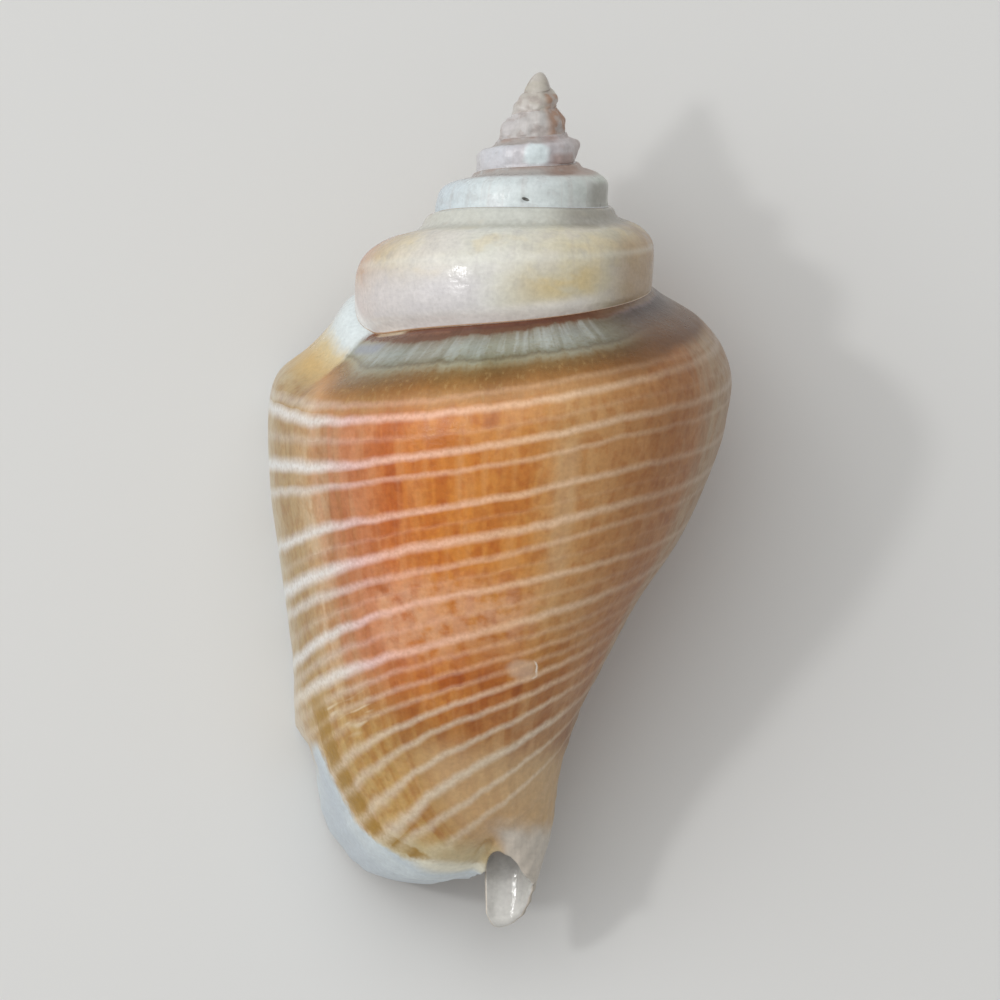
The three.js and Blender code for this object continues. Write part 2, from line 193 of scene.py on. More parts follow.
lowerFront = [
    [(-467, 1.4, 24.1), (-341, 1.47, 26.25), (-240, 1.89, 29.93), (-143, 3.05, 33.61), (-90, 3.41, 34.39),
     (0, 3.28, 35.3), (90, 3.83, 38.33), (120, 3.89, 40.01), (150, 3.99, 41.74), (180, 5.25, 42.69),
     (217, 8.6, 42.75)],
    [(-341, 1.31, 31.51), (-240, 1.42, 34.66), (-143, 2.21, 38.23), (-90, 2.36, 38.59), (0, 2.36, 39.12),
     (64, 2.42, 39.38), (90, 2.68, 39.64), (120, 2.73, 40.33), (150, 2.84, 41.74), (180, 3.57, 42.66),
     (217, 5.51, 42.95)],
    [(-341, 1.26, 37.81), (-240, 1.47, 40.96), (-143, 1.73, 42.16), (-90, 1.63, 42.16), (0, 1.74, 41.0),
     (64, 1.89, 41.0), (90, 2.15, 40.59), (118, 2.1, 40.33), (140, 2.15, 40.8), (155, 2.1, 41.69),
     (180, 2.52, 42.43), (217, 3.94, 42.64)],
]
frontEdge = [
    (-143, 1.5, 44.2), (-125, 1.5, 44.85), (-112, 1.4, 45), (-90, 1.25, 44.85), (-45, 1.23, 44.1),
    (0, 1.33, 42.65), (30, 1.5, 42.35), (64, 1.79, 42.0), (90, 1.84, 41.27), (118, 1.68, 40.96),
    (140, 1.63, 41.32), (155, 1.58, 42.11), (180, 1.79, 42.27), (217, 2.63, 42.48),
]
centreLine = [(0, 0, 0), (3.15, -0.16, 0), (10.5, -0.16, 0), (16.8, 0, 0), (35.71, 0, 0), (41.48, 0.74, 0.16),
              (45, 0.74, 0.32)]
spoon = {
    "start": 12,
    "turn": 155,
    "wall": [(0, 0), (6, 0), (7, 1), (8, 0.6), (9, 0.3)],
    "share": [(0, 0), (6, 0), (7, 0.4), (8, 1), (9, 1)],
}

angles = startAngle + columnStep * np.arange(lastColumn + 1)
longAngles = startAngle + columnStep * np.arange(lastColumn + turnColumns + 1)
places = np.arange(0, frontPlace + placeStep / 2, placeStep)
firstOpen = lastColumn - turnColumns
canalColumn = lastColumn - round(shell["canalTurn"] / columnStep)
deepColumn = lastColumn - round(shell["hollowTurn"] / columnStep)

softer, soft, crisp = shell["seamSoftness"], shell["frontSoftness"], shell["edgeSoftness"]
seamTrack = soften(follow(seam, longAngles), softer)
wideTrack = soften(follow(widest, angles), softer)[:, 0]
rowTracks = [soften(follow(np.column_stack([frontAngles, row]), angles), softer) for row in upperFront]
rowTracks += [soften(follow(row, angles), soft) for row in lowerFront]
edgeTrack = soften(follow(frontEdge, angles), crisp)


def columnOf(angle):
    return round((angle - startAngle) / columnStep)


def seamPlace(angle):
    climb = np.where(angle > seamClimb[0][0], follow(seamClimb, angle)[..., 0], 0)
    return girdle - climbPlaces * climb


def ribs(angle):
    early = smooth(-1560, -1400, angle) * (1 - smooth(-900, -820, angle))
    wave = 0.025 * early * np.cos(np.radians(angle * 9))
    return sum((tall * bell(angle - at, width) for at, width, tall in knobs), wave)


def outlines(first, last, top):
    # The outline of each column of the shell: radius and height at every place.
    angle = angles[first:last]
    low = seamTrack[first + turnColumns : last + turnColumns]
    wide = wideTrack[first:last]
    toSpire, toBody, toLip = smooth(-1300, -1120, angle), smooth(-130, -20, angle), smooth(90, 180, angle)
    points = []
    for i in range(6):
        spire = [mix(apexOutline[i][k], spireOutline[i][k], toSpire) for k in (0, 1)]
        share = [mix(mix(spire[k], bodyOutline[i][k], toBody), lipOutline[i][k], toLip) for k in (0, 1)]
        radius = mix(top[:, 0], wide, share[0])
        if i > 0:
            radius = radius * (1 + ribs(angle) * math.sin(math.pi * i / 6))
        points.append(np.stack([radius, mix(top[:, 1], low[:, 1], share[1])], 1))
    tuck = [mix(spireTuck[k], bodyTuck[k], toBody) for k in (0, 1)]
    points.append(np.stack([mix(low[:, 0], wide, tuck[0]), mix(top[:, 1], low[:, 1], tuck[1])], 1))
    points += [low] + [row[first:last] for row in rowTracks] + [edgeTrack[first:last]]
    table = np.concatenate([np.arange(len(points))[:, None], np.stack(points).reshape(len(points), -1)], 1)
    dense = follow(table, places).reshape(len(places), last - first, 2)
    split = round(girdle / placeStep)
    parted = np.concatenate([soften(dense[: split + 1], crisp)[:-1], soften(dense[split:], soft)])
    dense = mix(parted, soften(dense, soft), smooth(-143, -115, angle)[None, :, None])
    return dense.transpose(1, 0, 2)


climbColumn = columnOf(seamClimb[0][0])
tops = seamTrack[: lastColumn + 1].copy()
skin = np.zeros((lastColumn + 1, len(places), 2))
skin[:climbColumn] = outlines(0, climbColumn, tops[:climbColumn])
for column in range(climbColumn, lastColumn + 1):
    step = seamPlace(angles[column]) / placeStep
    below = int(step)
    tops[column] = mix(skin[column - turnColumns, below], skin[column - turnColumns, below + 1], step - below)
skin[climbColumn:] = outlines(climbColumn, lastColumn + 1, tops[climbColumn:])


def radiusAndHeight(angle, place):
    column = np.clip((angle - startAngle) / columnStep, 0, lastColumn - 1e-6)
    step = np.clip(place / placeStep, 0, len(places) - 1 - 1e-6)
    c, k = column.astype(int), step.astype(int)
    across, down = (column - c)[..., None], (step - k)[..., None]
    return mix(mix(skin[c, k], skin[c + 1, k], across), mix(skin[c, k + 1], skin[c + 1, k + 1], across), down)


def inSpace(angle, radius, height):
    offset = follow(centreLine, height)
    turned = np.radians(angle)
    sideways = offset[..., 0] + radius * np.cos(turned)
    return np.stack([sideways, -height, offset[..., 1] + radius * np.sin(turned)], -1)


def outside(angle, place):
    angle, place = np.broadcast_arrays(np.asarray(angle, float), np.asarray(place, float))
    found = radiusAndHeight(angle, place)
    radius, height = found[..., 0], found[..., 1]
    notch = sum(out * bell(height - at, width) for at, width, out in lipNotches)
    return inSpace(angle, radius + smooth(lipAngle - 16, lipAngle, angle) * notch, height)


def inward(angle, place):
    along = outside(angle + 2, place) - outside(angle - 2, place)
    down = outside(angle, np.minimum(place + 0.1, frontPlace)) - outside(angle, place - 0.1)
    return unit(np.cross(down, along))


# The pale spiral lines: their heights in pixels at these growth angles, their strength and their width.

lineAngles = [-143, 0, 30, 60, 90, 120, 150, 180, 217]
paleLines = [
    ([165, 245, 270, 291, 317, 338, 345, 338, 325], 0.3, 2.4),
    ([172, 252, 279, 305, 333, 352, 361, 350, 338], 0.9, 3.0),
    ([190, 272, 299, 322, 353, 373, 381, 378, 376], 0.22, 2.2),
    ([208, 291, 316, 340, 370, 393, 408, 407, 405], 1.0, 3.2),
    ([224, 308, 334, 358, 390, 412, 428, 434, 436], 0.6, 2.2),
    ([258, 342, 369, 393, 424, 449, 469, 489, 492], 0.9, 2.8),
    ([275, 359, 386, 411, 441, 466, 489, 510, 514], 0.14, 2.0),
    ([291, 375, 402, 429, 459, 482, 509, 531, 536], 1.0, 3.2),
    ([310, 393, 421, 448, 482, 508, 532, 554, 559], 0.6, 2.4),
    ([328, 411, 440, 467, 497, 523, 551, 578, 584], 0.16, 2.0),
    ([346, 429, 459, 485, 513, 538, 570, 601, 607], 0.9, 2.8),
    ([362, 446, 475, 504, 533, 560, 590, 620, 627], 0.3, 2.2),
    ([378, 462, 490, 522, 553, 582, 610, 637, 645], 1.0, 3.2),
    ([395, 480, 509, 541, 570, 597, 628, 656, 664], 0.4, 2.4),
    ([409, 494, 524, 556, 585, 614, 645, 673, 681], 0.45, 2.4),
    ([422, 506, 537, 569, 599, 629, 660, 690, 698], 0.4, 2.4),
    ([436, 520, 551, 582, 614, 647, 684, 720, 728], 0.8, 2.8),
    ([454, 538, 569, 600, 632, 665, 706, 740, 748], 0.75, 2.8),
    ([473, 557, 588, 619, 654, 690, 731, 765, 772], 0.8, 2.8),
    ([497, 581, 613, 645, 680, 715, 758, 790, 797], 1.0, 3.8),
    ([521, 605, 638, 671, 705, 738, 770, 802, 808], 0.75, 2.8),
    ([548, 632, 664, 697, 728, 757, 788, 815, 820], 0.65, 2.6),
]
lineTable = np.column_stack([lineAngles, np.array([entry[0] for entry in paleLines]).T * pixel])


def lineCoordinate(angle, height):
    # Counts the lines down the whorl, so that each lies at a whole number, and gives their spacing.
    at = follow(lineTable, angle)
    gap = np.diff(at, axis=-1)
    pace = np.zeros_like(at)
    pace[..., 1:-1] = 2 / (gap[..., 1:] + gap[..., :-1])
    pace[..., 0], pace[..., -1] = 1 / gap[..., 0], 1 / gap[..., -1]
    most = 3 / np.maximum(gap[..., 1:], gap[..., :-1])
    pace[..., 1:-1] = np.minimum(pace[..., 1:-1], most)
    low = np.clip((height[..., None] >= at).sum(-1) - 1, 0, at.shape[-1] - 2)
    pick = lambda values, where: np.take_along_axis(values, where[..., None], -1)[..., 0]
    run = pick(gap, low)
    t = (height - pick(at, low)) / run
    inner = np.clip(t, 0, 1)
    paceLow, paceHigh = pick(pace, low), pick(pace, low + 1)
    value = between(inner, run, 0, 1, paceLow, paceHigh)
    value = value + np.minimum(t, 0) * run * paceLow + np.maximum(t - 1, 0) * run * paceHigh
    return low + value, 1 / mix(paceLow, paceHigh, inner)


# Small relief on the outer face: heights in millimetres.

surface = {
    "growth": 0.01,
    "cords": 0.035,
    "ridges": [(84, 97, 0.03), (182, 196, 0.02)],  # growth angles of the step and of its foot, height
    "ridgeRise": 2,
    "chip": ((83.5, 31.2), (0.75, 0.4), 0.06),  # growth angle and height of its middle, half sizes, relief
    "pinhole": ((-626, 6.8), (0.12, 0.09), -0.3),
    "lumps": [(0.9, 0, 0.1), (0.4, 9, 0.05)],  # width, place in the noise, height
    "lumpsEnd": -200,
}
rng = np.random.RandomState(7)
streakAngles = np.arange(-2400, 700, 3.0)
streakHeights = soften(rng.uniform(-1, 1, (len(streakAngles), 1)), 0.6)[:, 0]


def spot(angle, height, radius, at, size):
    # One inside a soft oval round a point of the shell, falling to zero outside it.
    across = np.radians(angle - at[0]) * radius / size[0]
    return np.exp(-(across**2 + ((height - at[1]) / size[1]) ** 2))


def lumpsAt(points, size):
    # Smooth random heights from -1 to 1, with lumps about as wide as the size given.
    flat = points.reshape(-1, 3) / size
    return np.array([noise.noise(Vector(point)) for point in flat]).reshape(points.shape[:-1])


def relief(angle, height, radius, line):
    body = smooth(-200, -100, angle)
    growth = surface["growth"] * np.interp(angle, streakAngles, streakHeights) * (0.35 + 0.65 * body)
    front = smooth(27, 34, height) * smooth(-120, -60, angle)
    cords = surface["cords"] * front * np.cos(2 * math.pi * line)
    steps = 0
    for start, end, tall in surface["ridges"]:
        crest = start + surface["ridgeRise"]
        steps += tall * (smooth(start, crest, angle) - smooth(crest, end, angle)) * smooth(17, 19, height)
    at, size, tall = surface["chip"]
    chip = tall * smooth(0.35, 0.6, spot(angle, height, radius, at, size))
    at, size, tall = surface["pinhole"]
    return growth + cords + steps + chip + tall * spot(angle, height, radius, at, size)


# The mesh


def placesOf(angle, rows):
    # The places of all rows of a column. They lie closer together near the seams.
    upper, lower = shell["upperRows"], shell["lowerRows"]
    top = seamPlace(angle + 360)
    t = np.clip(rows / upper, 0, 1)
    t = t - shell["bunching"] * np.sin(2 * math.pi * t) / (2 * math.pi)
    s = np.clip((rows - upper) / lower, 0, 1)
    return np.where(rows <= upper, top * t, top + (frontPlace - top) * s)


class Builder:
    # Gathers points with what the finish needs to know about each, and the faces between them.
    def __init__(self):
        self.parts = []
        self.count = 0
        self.quads = []
        self.triangles = []

    def add(self, points, **facts):
        flat = points.reshape(-1, 3)
        first = self.count
        spread = {name: np.broadcast_to(value, points.shape[:-1]).ravel() for name, value in facts.items()}
        self.parts.append((flat, spread))
        self.count += len(flat)
        return (first + np.arange(len(flat))).reshape(points.shape[:-1])

    def points(self):
        return np.concatenate([flat for flat, spread in self.parts])

    def fact(self, name):
        return np.concatenate([spread[name] for flat, spread in self.parts])

    def sheet(self, corners, flip=False):
        a, b, c, d = corners[:-1, :-1], corners[1:, :-1], corners[1:, 1:], corners[:-1, 1:]
        order = (a, d, c, b) if flip else (a, b, c, d)
        self.quads.append(np.stack([corner.ravel() for corner in order], 1))

    def ladder(self, left, right):
        points = self.points()

        def lengths(line):
            run = np.linalg.norm(np.diff(points[line], axis=0), axis=1)
            total = np.concatenate([[0], np.cumsum(run)])
            return total / total[-1]

        leftAt, rightAt = lengths(left), lengths(right)
        i = j = 0
        while i < len(left) - 1 or j < len(right) - 1:
            goLeft = j == len(right) - 1 or (i < len(left) - 1 and leftAt[i + 1] < rightAt[j + 1])
            step = left[i + 1] if goLeft else right[j + 1]
            if left[i] != right[j] and step not in (left[i], right[j]):
                self.triangles.append((left[i], right[j], step))
            if goLeft:
                i += 1
            else:
                j += 1


def makeShell():
    build = Builder()
    upper, lower, lip = shell["upperRows"], shell["lowerRows"], lastColumn
    allRows = upper + lower
    hollowRow = upper + shell["hollowRows"]
    farEnd = deepColumn - turnColumns

    # The outer face of the whorls, and of the body whorl down to its front edge.
    turn, rows = np.meshgrid(angles, np.arange(allRows + 1), indexing="ij")
    place = placesOf(turn, rows)
    base = outside(turn, place)
    spoonPart = np.s_[farEnd:firstOpen, upper + 1 :]
    front, canalStart = place[spoonPart], angles[canalColumn]
    turned = np.clip((turn[spoonPart] - (canalStart - 360)) / (lipAngle - canalStart), 0, 1)
    mirrored = spoon["start"] - turned * spoon["turn"]
    wall = follow(spoon["wall"], front - girdle)[..., 0] * np.sqrt(1 - turned**2)
    spooned = outside(mirrored, front) + inward(mirrored, front) * wall[..., None]
    base[spoonPart] = mix(base[spoonPart], spooned, follow(spoon["share"], front - girdle))

    height = -base[..., 1]
    offset = follow(centreLine, height)
    radius = np.hypot(base[..., 0] - offset[..., 0], base[..., 2] - offset[..., 1])
    line = lineCoordinate(turn, height)[0]
    normal = np.zeros_like(base)
    for where in (np.s_[:, : upper + 1], np.s_[firstOpen:, upper:]):
        normal[where] = -inward(turn[where], place[where])
    fromSeam = smooth(0, 0.3, place)
    fromNext = np.where(turn > angles[firstOpen], 1, smooth(0, 0.3, seamPlace(turn + 360) - place))
    raised = relief(turn, height, radius, line)
    spireEnd = columnOf(surface["lumpsEnd"])
    lumps = sum(tall * lumpsAt(base[:spireEnd] + apart, wide) for wide, apart, tall in surface["lumps"])
    worn = 1 + 0.8 * smooth(-980, -1100, turn[:spireEnd]) - 0.75 * smooth(-820, -700, turn[:spireEnd])
    raised[:spireEnd] += lumps * worn
    raised = raised * fromSeam * fromNext
    face = base + normal * raised[..., None]
    edge = face[lip].copy()
    setBack = outside(np.full(allRows + 1, lipAngle - shell["lipSetBack"]), place[lip])
    face[lip] = setBack + normal[lip] * raised[lip][..., None]

    # How far each point of the outer face lies below its seam and above the next one.
    run = np.linalg.norm(np.diff(base, axis=1), axis=-1)
    under = np.concatenate([np.zeros((lip + 1, 1)), np.cumsum(run, 1)], 1)
    farAway = 99
    above = np.where(turn > angles[firstOpen], farAway, under[:, upper : upper + 1] - under)
    shoulder = (height - height[:, :1]) / (follow(lineTable, turn)[..., 1] - height[:, :1])
    within = np.where(rows > upper, smooth(-140, -150, turn), 0)
    facts = dict(turn=turn, place=place, under=under, above=above, shoulder=shoulder, within=within)

    def pick(where):
        return {name: value[where] for name, value in facts.items()}

    ids = np.full(place.shape, -1)
    for where in (np.s_[:, :upper], np.s_[firstOpen + 1 :, upper], np.s_[farEnd:, upper + 1 :]):
        ids[where] = build.add(face[where], **pick(where))
    ids[: firstOpen + 1, upper] = ids[turnColumns : lip + 1, 0]

    # The inner face of the outer wall starts on the whorl before it.
    hollowPart = np.s_[deepColumn:, 1:]
    angle, down = turn[hollowPart], place[hollowPart]
    nearLip = smooth(lipAngle - shell["lipThinning"], lipAngle, angle)
    nearCanal = smooth(*shell["canalThinning"], down)
    wall = mix(mix(shell["wall"], shell["lipWall"], nearLip), shell["canalWall"], nearCanal)
    start = face[farEnd : firstOpen + 1, upper + 1][:, None]
    lining = base[hollowPart] - normal[hollowPart] * wall[..., None]
    lining[-1] += setBack[1:] - base[lip, 1:]
    lining = mix(start, lining, smooth(*shell["liningFade"], down)[..., None])
    keep = np.ones(lining.shape[:2], bool)
    keep[: canalColumn - deepColumn, hollowRow:] = False
    liningFacts = {name: value[keep] for name, value in pick(hollowPart).items()}
    liningFacts["within"] = np.ones(keep.sum())
    inside = np.full(place.shape, -1)
    inside[hollowPart][keep] = build.add(lining[keep], **liningFacts)
    inside[deepColumn:, 0] = ids[farEnd : firstOpen + 1, upper + 1]

    build.sheet(ids[:, : upper + 1])
    build.sheet(ids[firstOpen:, upper:])
    build.sheet(ids[farEnd : firstOpen + 1, upper + 1 : hollowRow + 1])
    build.sheet(ids[canalColumn - turnColumns : firstOpen + 1, hollowRow:])
    build.sheet(inside[deepColumn:, : hollowRow + 1], flip=True)
    build.sheet(inside[canalColumn:, hollowRow:], flip=True)

    # The rounded edge of the lip, and the rounded front edge.
    steps = shell["rimSteps"]
    here = pick(lip)
    known = build.points()
    outerEdge, innerEdge = known[ids[lip]], known[inside[lip]]
    middle, half = (outerEdge + innerEdge) / 2, (outerEdge - innerEdge) / 2
    reach = edge - half - middle
    reach[0] = 0
    rim = [ids[lip]]
    for k in range(1, steps):
        lap = math.pi * k / steps
        ring = middle + half * math.cos(lap) + reach * math.sin(lap)
        rim.append(build.add(ring, **{**here, "within": np.full(allRows + 1, 0.9 * k / steps)}))
    rim.append(inside[lip])
    build.sheet(np.stack(rim))
    frontPart = np.s_[canalColumn:lip, allRows]
    ahead = unit(face[frontPart] - face[canalColumn:lip, allRows - 1])
    middle = (face[frontPart] + lining[canalColumn - deepColumn : -1, allRows - 1]) / 2
    last = {**pick(frontPart), "within": np.full(lip - canalColumn, 0.2)}
    bead = build.add(middle + ahead * shell["beadReach"], **last)
    bead = np.concatenate([bead, [rim[steps // 2][-1]]])
    build.sheet(np.stack([ids[canalColumn:, allRows], bead], 1))
    build.sheet(np.stack([bead, inside[canalColumn:, allRows]], 1))
    corner = [row[-1] for row in rim]
    for a, b in zip(corner[:-1], corner[1:]):
        if corner[steps // 2] not in (a, b):
            build.triangles.append((a, corner[steps // 2], b))

    # The far end of the hollow, its floor behind the canal, and the rim round the canal's tip.
    before = ids[farEnd : firstOpen + 1]
    canalBefore = canalColumn - deepColumn
    build.ladder(inside[deepColumn, : hollowRow + 1], before[0, upper + 1 : hollowRow + 1])
    build.ladder(inside[deepColumn : canalColumn + 1, hollowRow], before[: canalBefore + 1, hollowRow])
    build.ladder(inside[canalColumn, hollowRow:], before[canalBefore, hollowRow:])
    tipEdge = ids[canalColumn : firstOpen - 1 : -1, allRows]
    tip = np.concatenate([[inside[canalColumn, allRows], bead[0]], tipEdge])
    build.ladder(tip, before[canalBefore:, allRows])

    # The rounded apex, over the first turn of the seam and the start of the first whorl.
    start = {**{name: 0.0 for name in facts}, "turn": startAngle, "place": 4.0, "under": 1.0, "above": 1.0}
    ring = np.concatenate([ids[: turnColumns + 1, 0], ids[0, upper - 1 :: -1]])
    base = build.points()[ring[:-1]]
    rings = [ring]
    for share in shell["apexRings"]:
        inner = build.add(base * (math.sqrt(share), share, math.sqrt(share)), **start)
        rings.append(np.append(inner, inner[0]))
    build.sheet(np.stack(rings))
    apex = int(build.add(np.zeros((1, 3)), **start)[0])
    for a, b in zip(rings[-1][:-1], rings[-1][1:]):
        build.triangles.append((apex, b, a))
    return build


def stand(name, data):
    made = bpy.data.objects.new(name, data)
    bpy.context.scene.collection.objects.link(made)
    return made


def turnAbout(axis, degrees, points):
    return points @ np.array(Matrix.Rotation(math.radians(degrees), 3, axis)).T


def settle(points):
    # Turns the shell to the way it lies on its lip and its belly.
    return turnAbout("Y", shell["roll"], turnAbout("X", shell["pitch"], points))


build = makeShell()
shellPoints = build.points()
settled = settle(shellPoints)
low, high = (np.array(corner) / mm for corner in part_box("shell"))
middle = (settled.min(0) + settled.max(0)) / 2
middle[2] = settled[:, 2].max() - high[2] + shell["topClearance"]
placed = settled - middle
room = (high - low)[:2] / (placed.max(0) - placed.min(0))[:2]
placed[:, :2] *= np.minimum(room * shell["sideShrink"], 1)
placed[:, 2] = np.maximum(placed[:, 2], 0)

quads = np.concatenate(build.quads)
triangles = np.array(build.triangles)
mesh = bpy.data.meshes.new("shell_wall")
loops = np.concatenate([quads.ravel(), triangles.ravel()])
starts = np.concatenate([4 * np.arange(len(quads)), 4 * len(quads) + 3 * np.arange(len(triangles))])
mesh.vertices.add(build.count)
mesh.vertices.foreach_set("co", (placed * mm).astype(np.float32).ravel())
mesh.loops.add(len(loops))
mesh.loops.foreach_set("vertex_index", loops.astype(np.int32))
mesh.polygons.add(len(starts))
mesh.polygons.foreach_set("loop_start", starts.astype(np.int32))
mesh.update(calc_edges=True)
mesh.validate()
mesh.polygons.foreach_set("use_smooth", np.ones(len(mesh.polygons), bool))

turn = build.fact("turn")
height = -shellPoints[:, 1]
line, gap = lineCoordinate(turn, height)
offset = follow(centreLine, height)
radius = np.hypot(shellPoints[:, 0] - offset[:, 0], shellPoints[:, 2] - offset[:, 1])
facts = {name: build.fact(name) for name in ("turn", "place", "under", "above", "shoulder", "within")}
facts.update(height=height, line=line, gap=gap, edge=np.radians(lipAngle - turn) * radius)
for name, value in facts.items():
    attribute = mesh.attributes.new(name, "FLOAT", "POINT")
    attribute.data.foreach_set("value", value.astype(np.float32))
piece = stand("shell_wall", mesh)
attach(piece, "root")
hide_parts("shell")
print("shell built:", build.count, "points,", 2 * len(quads) + len(triangles), "triangles")


# Camera: square to the shell's axis, facing its back, with the axis leaning a little in the picture

view = {
    "lens": 1000.0,
    "sensor": 36,
    "clipStart": 0.01,
    "lean": 0.055,  # how far the axis leans in the picture, as a slope
    "apexPixel": (541, 72),
    "pixels": 1000,
}


def direction(vector):
    return Vector(settle(np.array([vector], float))[0])


sideways, towardsApex, backwards = direction((1, 0, 0)), direction((0, 1, 0)), direction((0, 0, 1))
tilt = math.atan(view["lean"])
right = sideways * math.cos(tilt) + towardsApex * math.sin(tilt)
up = towardsApex * math.cos(tilt) - sideways * math.sin(tilt)
apexAt = -Vector(middle)
across, down = (view["pixels"] / 2 - at for at in view["apexPixel"])
target = apexAt + right * (across * pixel) - up * (down * pixel)
distance = view["pixels"] * pixel * view["lens"] / view["sensor"]
camera = stand("camera", bpy.data.cameras.new("camera"))
camera.data.lens = view["lens"]
camera.data.sensor_width = view["sensor"]
camera.data.clip_start = view["clipStart"]
aimed = Matrix((right, up, backwards)).transposed().to_4x4()
camera.matrix_world = Matrix.Translation((target + backwards * distance) * mm) @ aimed
bpy.context.scene.camera = camera
print("camera placed")


# Finish nodes


def tone(red, green, blue):
    # A colour as seen on a screen, 0 to 255, in the light values that the nodes want.
    values = [channel / 255 for channel in (red, green, blue)]
    return tuple(v / 12.92 if v <= 0.04045 else ((v + 0.055) / 1.055) ** 2.4 for v in values) + (1.0,)


class Paint:
    def __init__(self, name):
        self.material = bpy.data.materials.new(name)
        self.material.use_nodes = True
        self.tree = self.material.node_tree
        self.tree.nodes.clear()

    def node(self, kind, inputs=None, **settings):
        made = self.tree.nodes.new("ShaderNode" + kind)
        for name, value in settings.items():
            setattr(made, name, value)
        for socket, value in (inputs or {}).items():
            self.feed(made.inputs[socket], value)
        return made

    def feed(self, socket, value):
        if isinstance(value, bpy.types.NodeSocket):
            self.tree.links.new(value, socket)
        else:
            socket.default_value = value

    def fact(self, name):
        return self.node("Attribute", attribute_type="GEOMETRY", attribute_name=name).outputs["Fac"]

    def calc(self, operation, *values):
        return self.node("Math", dict(enumerate(values)), operation=operation).outputs[0]

    def chain(self, operation, values):
        # Takes one value after the other into the result.
        total = values[0]
        for value in values[1:]:
            total = self.calc(operation, total, value)
        return total

    def add(self, *values):
        return self.chain("ADD", values)

    def times(self, *values):
        return self.chain("MULTIPLY", values)

    def most(self, *values):
        return self.chain("MAXIMUM", values)

    def less(self, a, b):
        return self.calc("SUBTRACT", a, b)

    def swing(self, noise, *factors):
        # A noise as a swing about zero, times these factors.
        return self.times(self.less(noise, 0.5), *factors)

    def square(self, value, middle, half):
        # The square of the distance from a middle, which is one at half the width.
        part = self.times(self.less(value, middle), 1 / half)
        return self.times(part, part)

    def rise(self, value, low, high, start=0.0, end=1.0):
        ends = {"From Min": low, "From Max": high, "To Min": start, "To Max": end}
        return self.node("MapRange", {"Value": value, **ends}, interpolation_type="SMOOTHSTEP").outputs[0]

    def band(self, value, low, high, soft):
        up, down = self.rise(value, low - soft, low + soft), self.rise(value, high + soft, high - soft)
        return self.times(up, down)

    def mix(self, share, a, b, blend="MIX"):
        made = self.node("Mix", data_type="RGBA", blend_type=blend)
        self.feed(made.inputs[0], share)
        for socket, colour in ((6, a), (7, b)):  # the colour sockets are the seventh and eighth
            self.feed(made.inputs[socket], tone(*colour) if isinstance(colour, tuple) else colour)
        return made.outputs[2]

    def coats(self, base, *layers):
        # Lays coats over a base: the share of each, its colour and, where given, how it mixes.
        for share, colour, *blend in layers:
            base = self.mix(share, base, colour, *blend)
        return base

    def ramp(self, value, ends, stops, interpolation="LINEAR"):
        low, high = ends
        made = self.node("ValToRGB")
        made.color_ramp.interpolation = interpolation
        elements = made.color_ramp.elements
        while len(elements) < len(stops):
            elements.new(0.5)
        for element, (at, colour) in zip(elements, stops):
            element.position = (at - low) / (high - low)
            element.color = tone(*colour) if isinstance(colour, tuple) else (colour, colour, colour, 1.0)
        span = self.node("MapRange", {"Value": value, "From Min": low, "From Max": high})
        self.feed(made.inputs[0], span.outputs[0])
        return made.outputs[0]

    def cover(self, mesh, finish):
        shader = self.node("BsdfPrincipled", finish)
        self.node("OutputMaterial", {0: shader.outputs[0]})
        mesh.materials.append(self.material)

    def noise(self, across, often, down, oftener, seed, detail=2.0):
        # Noise that follows two measures of the shell, each times its own number.
        place = {0: self.times(across, often), 1: self.times(down, oftener), 2: seed}
        at = self.node("CombineXYZ", place).outputs[0]
        return self.node("TexNoise", {"Vector": at, "Scale": 1.0, "Detail": detail}).outputs[0]

    def grains(self, across, along, detail=2.0):
        # Noise fixed to the shell, in grains this wide and this long in millimetres.
        where = self.node("TexCoord").outputs["Object"]
        sizes = (1 / (across * mm), 1 / (along * mm), 1 / (across * mm))
        at = self.node("VectorMath", {0: where, 1: sizes}, operation="MULTIPLY").outputs[0]
        return self.node("TexNoise", {"Vector": at, "Scale": 1.0, "Detail": detail}).outputs[0]


look = {
    "bodyRoughness": 0.36,
    "seamRoughness": 0.2,
    "spireRoughness": 0.3,
    "insideGloss": 0.05,
    "blotchShare": 0.6,
    "lineWidth": 2.0,  # the pale lines' widths are times this
    "grainShare": 0.68,
    "grainParts": (0.45, 0.3, 0.15, 0.1),
    "bumpParts": (0.6, 0.35, 0.5, 0.6),
    "growthBump": 0.14,
    "bumpHeight": 0.0002,
}
bodyTurns, spireTurns = (-143, 217), (-1979, -143)

p = Paint("glossy_shell")
rise, band, times, swing, add = p.rise, p.band, p.times, p.swing, p.add
darken = "MULTIPLY"
turn, place, height, under, above = map(p.fact, ("turn", "place", "height", "under", "above"))
edge, line, gap, shoulder, within = map(p.fact, ("edge", "line", "gap", "shoulder", "within"))

# Clouds and growth streaks that follow the whorls, then short streaks, threads, grain and mottling.
cloud = p.noise(turn, 0.045, height, 0.16, seed=1)
streak = p.noise(turn, 0.24, height, 0.09, seed=4, detail=3)
fine = p.grains(0.24, 0.8, detail=3)
weave = p.grains(0.7, 0.18)
grain = p.grains(0.22, 0.22, detail=3)
mottle = p.grains(0.8, 0.7, detail=4)
patch = p.grains(2.6, 1.5, detail=3)
small = p.grains(0.55, 0.8)

# Where each pale line lies. The blotches between two lines end at the lines.
bend = p.noise(turn, 0.14, height, 0.3, seed=50, detail=1)
wobble = add(swing(bend, 0.3), swing(grain, 0.035))
at = add(line, p.calc("DIVIDE", wobble, gap))
space = p.calc("FLOOR", at)
blotch = p.noise(turn, 0.15, space, 4.7, seed=20)

